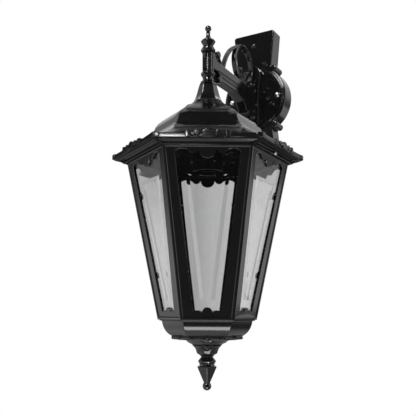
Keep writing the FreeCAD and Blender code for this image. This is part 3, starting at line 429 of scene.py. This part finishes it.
# a detail is modelled facing +X, then copied round the lamp's axis
def setRound(piece, body, at, turns, tilt=0, smooth=trimFinish["smooth"]):
    cleanPiece(piece, smooth)
    seat = Matrix.Translation(Vector(at) * mm) @ turned(tilt, "Y")
    plain = piece.data.copy()
    for number, turn in enumerate(turns):
        copy = piece
        if number:
            copy = bpy.data.objects.new("%s_%d" % (piece.name, number + 1), plain.copy())
            scene.collection.objects.link(copy)
        copy.data.transform(Matrix.Translation(lampAxis) @ turned(turn, "Z") @ seat)
        fitPiece(copy, body)
    print("made", piece.name, len(turns))


# the trim below is in millimetres and degrees, and its tapers start at shares of a ball of radius 1
faces = [60 * side for side in range(sides)]
hips = [30 + face for face in faces]
hipLeaf = {"long": 12.5, "wide": 8.5, "thick": 2.6, "ridge": 0.6, "ridgeHalf": 0.12,
           "taperFrom": (0.1, 0.4, 0.65, 0.85), "taper": (1, 0.66, 0.85),
           "heelFrom": -0.5, "heel": (1, 0.8, 0.8), "at": (25.4, 0, -52.3), "slope": 33}


def makeHipLeaf():  # a spear leaf on each corner of the crown's foot
    values = hipLeaf
    piece = startPiece("hipLeaf", bpy.ops.mesh.primitive_ico_sphere_add, subdivisions=3, radius=1)
    openPiece(piece, lambda co: abs(co.y) < values["ridgeHalf"] and co.z > 0)
    scaleBy(1, 1, 1 + values["ridge"])
    for share in values["taperFrom"]:
        openPiece(piece, lambda co: co.x > share)
        scaleBy(*values["taper"])
    openPiece(piece, lambda co: co.x < values["heelFrom"])
    scaleBy(*values["heel"])
    openPiece(piece)
    scaleBy(values["long"] / 2 * mm, values["wide"] / 2 * mm, values["thick"] / 2 * mm)
    setRound(piece, "bracket", values["at"], hips, tilt=values["slope"])


columnStrip = {"out": 0.9, "wide": 3.0, "tall": 2.1, "pitch": 2.3, "count": 10, "lean": 19,
               "edge": 0.15, "edgeAngle": 40, "facets": 32,
               "at": (6.2, 0, -5.6), "turns": (-120, -60, 0, 180)}


def makeColumnStrip():  # a row of half-round studs, each leaning back, up the free faces of the column
    values = columnStrip
    leanBack = math.tan(math.radians(values["lean"])) * values["tall"] * mm
    piece = startPiece("columnStrip", bpy.ops.mesh.primitive_cylinder_add,
                       vertices=values["facets"], radius=1, depth=2)
    openPiece(piece)
    scaleBy(values["out"] * mm, values["wide"] / 2 * mm, values["tall"] / 2 * mm)
    openPiece(piece, lambda co: co.z > 0)
    slideOut(-leanBack)
    openPiece(piece)
    slideOut(leanBack / 2)
    bpy.ops.object.mode_set(mode="OBJECT")
    edge = piece.modifiers.new("edge", "BEVEL")
    edge.width = values["edge"] * mm
    edge.segments = 2
    edge.angle_limit = math.radians(values["edgeAngle"])
    closeModifier(piece, "edge")
    repeatAlong(piece, values["count"], (0, 0, values["pitch"]))
    setRound(piece, "bracket", values["at"], values["turns"])


bandLeaf = {"out": 1.2, "long": 2.4, "tall": 1.25, "taperFrom": (0.2, 0.6), "taper": (0.8, 1, 0.6),
            "first": 5.9, "step": 3.3, "count": 5, "twist": 24, "at": (36.3, 0, -335.6)}


def makeBandLeaves():  # leaves along each side of the cup's band, mirrored about its middle
    values = bandLeaf
    piece = startPiece("bandLeaf", bpy.ops.mesh.primitive_ico_sphere_add, subdivisions=2, radius=1)
    for share in values["taperFrom"]:
        openPiece(piece, lambda co: co.y > share)
        scaleBy(*values["taper"])
    openPiece(piece)
    scaleBy(values["out"] * mm, values["long"] * mm, values["tall"] * mm)
    bpy.ops.object.mode_set(mode="OBJECT")
    piece.data.transform(Matrix.Translation((0, values["first"] * mm, 0)) @ turned(values["twist"], "X"))
    repeatAlong(piece, values["count"], (0, values["step"], 0))
    mirrorPiece(piece, (False, True, False))
    setRound(piece, "cage", values["at"], faces)


ribs = {"facets": 4, "rings": 14, "crest": 0.5, "rise": 1.08, "tipFrom": 0.85, "tip": (1.3, 0.8, 0.8)}
bandFlower = {"out": 1.7, "wide": 2.9, "tall": 2.3, "petals": 6, "petal": 1.25, "at": (36.2, 0, -335.4)}
footShell = {"out": 1.6, "wide": 7.4, "tall": 5.2, "petals": 9, "petal": 1.12, "at": (22.6, 0, -340.2),
             "turns": (-60, 60, 180), "tilt": 54}


def makeRibbed(name, values):  # a flattened ball with ribs running out from its middle
    petals = values["petals"]
    piece = startPiece(name, bpy.ops.mesh.primitive_uv_sphere_add, segments=petals * ribs["facets"],
                       ring_count=ribs["rings"])
    piece.data.transform(turned(90, "Y"))
    openPiece(piece, lambda co: math.cos(petals * math.atan2(co.z, co.y)) > ribs["crest"])
    scaleBy(ribs["rise"], values["petal"], values["petal"])
    openPiece(piece, lambda co: co.x > ribs["tipFrom"])
    scaleBy(*ribs["tip"])
    openPiece(piece)
    scaleBy(values["out"] * mm, values["wide"] * mm, values["tall"] * mm)
    return piece


def makeCupFlowers():  # a flower in the middle of each side of the band, and shells on the trumpet below
    smooth = trimFinish["petalSmooth"]
    flower = makeRibbed("bandFlower", bandFlower)
    setRound(flower, "cage", bandFlower["at"], faces, smooth=smooth)
    shell = makeRibbed("footShell", footShell)
    setRound(shell, "cage", footShell["at"], footShell["turns"], tilt=footShell["tilt"], smooth=smooth)


rootCurl = {"out": 1.5, "wide": 2.2, "tall": 2.2, "petals": 5, "petal": 1.2, "side": 6.4,
            "places": ((-37.6, 14.1), (-34.5, 6.0), (-32.8, -14.4), (-39.7, -25.4), (-38.3, -34.6))}


def makeRootCurls():  # small flowers on both sides of the arm's root
    values = rootCurl
    curls = []
    for y, z in values["places"]:
        curl = makeRibbed("rootCurl", values)
        makeActive(curl)
        curl.data.transform(Matrix.Translation(Vector((values["side"], y, z)) * mm))
        curls.append(curl)
    for curl in curls:
        curl.select_set(True)
    bpy.ops.object.join()
    piece = bpy.context.object
    mirrorPiece(piece, (True, False, False))
    cleanPiece(piece, trimFinish["petalSmooth"])
    fitPiece(piece, "bracket")
    print("made", piece.name, 2 * len(curls))


discBead = {"radius": 43.6, "thick": 0.9, "flat": 0.8, "gap": 14.5, "front": -23.9,
            "around": 120, "across": 12}


def makeDiscBead():  # a bead on the border of the plate's disc, in two arcs beside the foot pad
    values = discBead
    piece = startPiece("discBead", bpy.ops.mesh.primitive_torus_add,
                       major_segments=values["around"], minor_segments=values["across"],
                       major_radius=values["radius"] * mm, minor_radius=values["thick"] * mm)
    openPiece(piece, lambda co: abs(co.x) < values["gap"] * mm)
    bpy.ops.mesh.delete(type="VERT")
    openPiece(piece)
    bpy.ops.mesh.fill_holes(sides=0)
    scaleBy(1, 1, values["flat"])
    bpy.ops.object.mode_set(mode="OBJECT")
    piece.data.transform(Matrix.Translation((0, values["front"] * mm, 0)) @ turned(90, "X"))
    cleanPiece(piece, trimFinish["smooth"])
    fitPiece(piece, "bracket")
    print("made", piece.name)


makeHipLeaf()
makeColumnStrip()
makeRootCurls()
makeDiscBead()
makeBandLeaves()
makeCupFlowers()

studio = {"floorDrop": 2.6, "floorHalf": 9.0, "floorGrey": 0.9, "world": 0.75, "white": 0.97}
whiteRays = ("Is Camera Ray", "Is Glossy Ray", "Is Transmission Ray")


def grey(level):
    return (level, level, level, 1)


def seenWhite(flow):  # 1 for the rays that show the white background
    path = flow.tree.nodes.new("ShaderNodeLightPath")
    seen, reflected, refracted = [Flow(flow.tree, path.outputs[name]) for name in whiteRays]
    return flow.math("MAXIMUM", flow.math("MAXIMUM", seen, reflected), refracted)


def glow(flow, colour):
    return flow.node("ShaderNodeEmission", {}, {"Color": colour, "Strength": 1.0})


def makeWorld():
    world = bpy.data.worlds.new("studio")
    scene.world = world
    world.use_nodes = True
    world.node_tree.nodes.clear()
    flow = Flow(world.node_tree)
    level = studio["world"] + seenWhite(flow) * (1 - studio["world"])
    sky = flow.node("ShaderNodeBackground", {}, {"Color": grey(1), "Strength": level})
    closeShader(flow, sky, "ShaderNodeOutputWorld")


def hideCard(card):  # the cards only show in reflections or through the glass
    card.visible_camera = False
    card.visible_diffuse = False
    card.visible_shadow = False


dome = {"drop": 0.2, "segments": 72, "rings": 48}  # its middle is this far below the plate's
flags = {  # cards round the lantern, as parts of a dome: greys by height, angles in degrees, away in metres
    "frontFlag": {"middle": -60, "half": 57.4, "lean": 0.53, "level": 23.8, "away": 2.2,
                  "greys": ((-37, 0.05), (90, 0.05))},
    "backFlag": {"middle": 120, "half": 18, "away": 2.25,
                 "greys": ((8, 0.9), (28, 0.9), (46, 0.62), (60, 0.36), (76, 0.13), (90, 0.06))},
    "leftFlag": {"middle": 180, "half": 24, "away": 2.3,
                 "greys": ((-60, 0.6), (-20, 0.55), (-6, 1.0), (2, 0.5), (8, 0.05), (20, 0.05), (30, 0.4),
                           (48, 0.5), (62, 0.6), (75, 1.0))},
    "rightFlag": {"middle": 60, "half": 24, "away": 2.35,
                  "greys": ((3, 0.5), (8, 0.2), (14, 0.35), (22, 0.85), (34, 0.85), (48, 0.5), (62, 0.6),
                            (75, 1.0))},
    "sideFlag": {"middle": -136, "half": 20, "away": 2.5,
                 "greys": ((10, 0.3), (40, 0.3), (70, 0.6))},
    "underFlag": {"middle": -145, "half": 42, "away": 2.45,
                  "greys": ((-80, 0.4), (-62, 0.45), (-50, 0.8), (-40, 0.9))},
    "rearFlag": {"middle": 137, "half": 36, "away": 2.4,
                 "greys": ((-89, 0.6), (-56, 0.6), (-42, 0.4), (-12, 0.25))},
    "lowFlag": {"middle": 45, "half": 56, "away": 2.4,
                "greys": ((-89, 0.4), (-55, 0.3), (-28, 0.4), (-22, 0.06), (-16, 0.06), (-12, 0.2))},
}


def makeFlag(name):
    values = flags[name]
    middle = lampAxis - Vector((0, 0, dome["drop"]))
    finish, flow = newFinish(name)
    height = flow.node("ShaderNodeSeparateXYZ", {}, {"Vector": objectPlace(flow)}, "Z")
    share = (height - middle.z) * (0.5 / values["away"]) + 0.5
    stops = [(0.5 + 0.5 * math.sin(math.radians(rise)), grey(level)) for rise, level in values["greys"]]
    closeShader(flow, glow(flow, flow.node("ShaderNodeValToRGB", {"stops": stops}, {"Fac": share}, "Color")))
    flag = startPiece(name, bpy.ops.mesh.primitive_uv_sphere_add, segments=dome["segments"],
                      ring_count=dome["rings"], radius=values["away"], location=middle)
    bpy.ops.object.transform_apply(location=True, rotation=False, scale=False)
    bpy.ops.object.mode_set(mode="EDIT")
    bpy.ops.mesh.select_all(action="DESELECT")
    bpy.ops.object.mode_set(mode="OBJECT")
    lowest = values["greys"][0][0]
    highest = values["greys"][-1][0]
    for face in flag.data.polygons:
        ray = (face.center - middle).normalized()
        turn = math.degrees(math.atan2(ray.y, ray.x)) - values["middle"]
        turn = (turn + 180) % 360 - 180
        rise = math.degrees(math.asin(ray.z))
        near = -values["half"] - values.get("lean", 0) * (rise - values.get("level", 0))
        face.select = not (near < turn < values["half"] and lowest < rise < highest)
    bpy.ops.object.mode_set(mode="EDIT")
    bpy.ops.mesh.delete(type="FACE")
    bpy.ops.object.mode_set(mode="OBJECT")
    flag.data.materials.append(finish)
    hideCard(flag)
    flag.visible_transmission = name == "frontFlag"


backdrop = {"away": 2.5, "size": 3, "turn": 30, "half": 8,  # metres and degrees
            "greys": ((-8, 0.93), (-4, 0.93), (-1.4, 0.78), (0.6, 1.0), (4, 1.06), (8, 1.06))}


def makeBackdrop():  # seen only through the panes, darker left of the middle
    values = backdrop
    turn = math.radians(values["turn"])
    across = Vector((math.cos(turn), math.sin(turn), 0))
    finish, flow = newFinish("backdrop")
    place = objectPlace(flow)
    side = flow.node("ShaderNodeVectorMath", {"operation": "DOT_PRODUCT"}, {0: place, 1: across}, "Value")
    start = across.dot(lampAxis)
    reach = values["away"] * math.sin(math.radians(values["half"])) * 2
    share = (side - start) * (1 / reach) + 0.5
    stops = [(0.5 + angle / (2 * values["half"]), grey(level)) for angle, level in values["greys"]]
    closeShader(flow, glow(flow, flow.node("ShaderNodeValToRGB", {"stops": stops}, {"Fac": share}, "Color")))
    behind = Vector((-across.y, across.x, 0)) * values["away"] + lampAxis
    card = startPiece("backdrop", bpy.ops.mesh.primitive_plane_add, size=values["size"], location=behind)
    card.rotation_euler = (math.radians(90), 0, turn)
    bpy.ops.object.transform_apply(location=True, rotation=True, scale=True)
    card.data.materials.append(finish)
    hideCard(card)
    card.visible_glossy = False


def makeFloor():
    finish, flow = newFinish("paleFloor")
    matt = flow.node("ShaderNodeBsdfDiffuse", {}, {"Color": grey(studio["floorGrey"])})
    white = glow(flow, grey(1))
    share = seenWhite(flow) * studio["white"]
    closeShader(flow, flow.node("ShaderNodeMixShader", {}, {"Fac": share, 1: matt, 2: white}))
    drop = cadBox[0].z - studio["floorDrop"]
    floor = startPiece("floor", bpy.ops.mesh.primitive_plane_add, size=2 * studio["floorHalf"],
                       location=(0, 0, drop))
    floor.data.materials.append(finish)


lampAim = lampAxis + Vector((0, 0, -0.15))
lamps = {  # where each soft light stands, its width and height in metres, and its watts
    "overhead": {"at": (-0.35, 0.55, 1.6), "size": (1.7, 1.2), "watts": 14, "glossy": False},
    "lowFront": {"at": (0.55, -1.05, -1.38), "size": (1.4, 0.42), "watts": 14},
    "key": {"at": (0.08, -1.29, 0.95), "size": (0.5, 0.5), "watts": 40, "diffuse": False},
    "glint": {"at": (0.846, -1.978, 0.445), "size": (0.09, 0.15), "watts": 1.8},
    "lowEdge": {"at": (0.752, -0.684, -1.695), "size": (0.48, 0.22), "watts": 7},
    "left": {"at": (-1.7, -0.9, 0.3), "size": (0.3, 1.6), "watts": 5},
    "right": {"at": (1.9, 0.3, 0.2), "size": (0.3, 1.6), "watts": 5},
}


def makeLamps():
    for name, values in lamps.items():
        light = bpy.data.lights.new(name, "AREA")
        light.shape = "RECTANGLE"
        light.size, light.size_y = values["size"]
        light.energy = values["watts"]
        lamp = bpy.data.objects.new(name, light)
        lamp.location = values["at"]
        lamp.rotation_euler = (lampAim - lamp.location).to_track_quat("-Z", "Y").to_euler()
        lamp.visible_glossy = values.get("glossy", True)
        lamp.visible_diffuse = values.get("diffuse", True)
        scene.collection.objects.link(lamp)


shot = {"lens": 52.41, "sensor": 36, "away": 0.726794, "around": 30, "height": -0.304598,
        "tilt": 9.63, "swing": 0.04, "roll": 0.2}


def makeCamera():
    view = bpy.data.cameras.new("photoView")
    view.lens = shot["lens"]
    view.sensor_width = shot["sensor"]
    camera = bpy.data.objects.new("photoView", view)
    around = math.radians(shot["around"])
    camera.location = lampAxis + Vector((math.sin(around), -math.cos(around), 0)) * shot["away"]
    camera.location.z = shot["height"]
    camera.rotation_euler = (math.radians(90 + shot["tilt"]), 0, around - math.radians(shot["swing"]))
    camera.rotation_euler.rotate_axis("Z", math.radians(shot["roll"]))
    scene.collection.objects.link(camera)
    scene.camera = camera


makeWorld()
for name in flags:
    makeFlag(name)
makeBackdrop()
makeFloor()
makeLamps()
makeCamera()
print("studio ready")
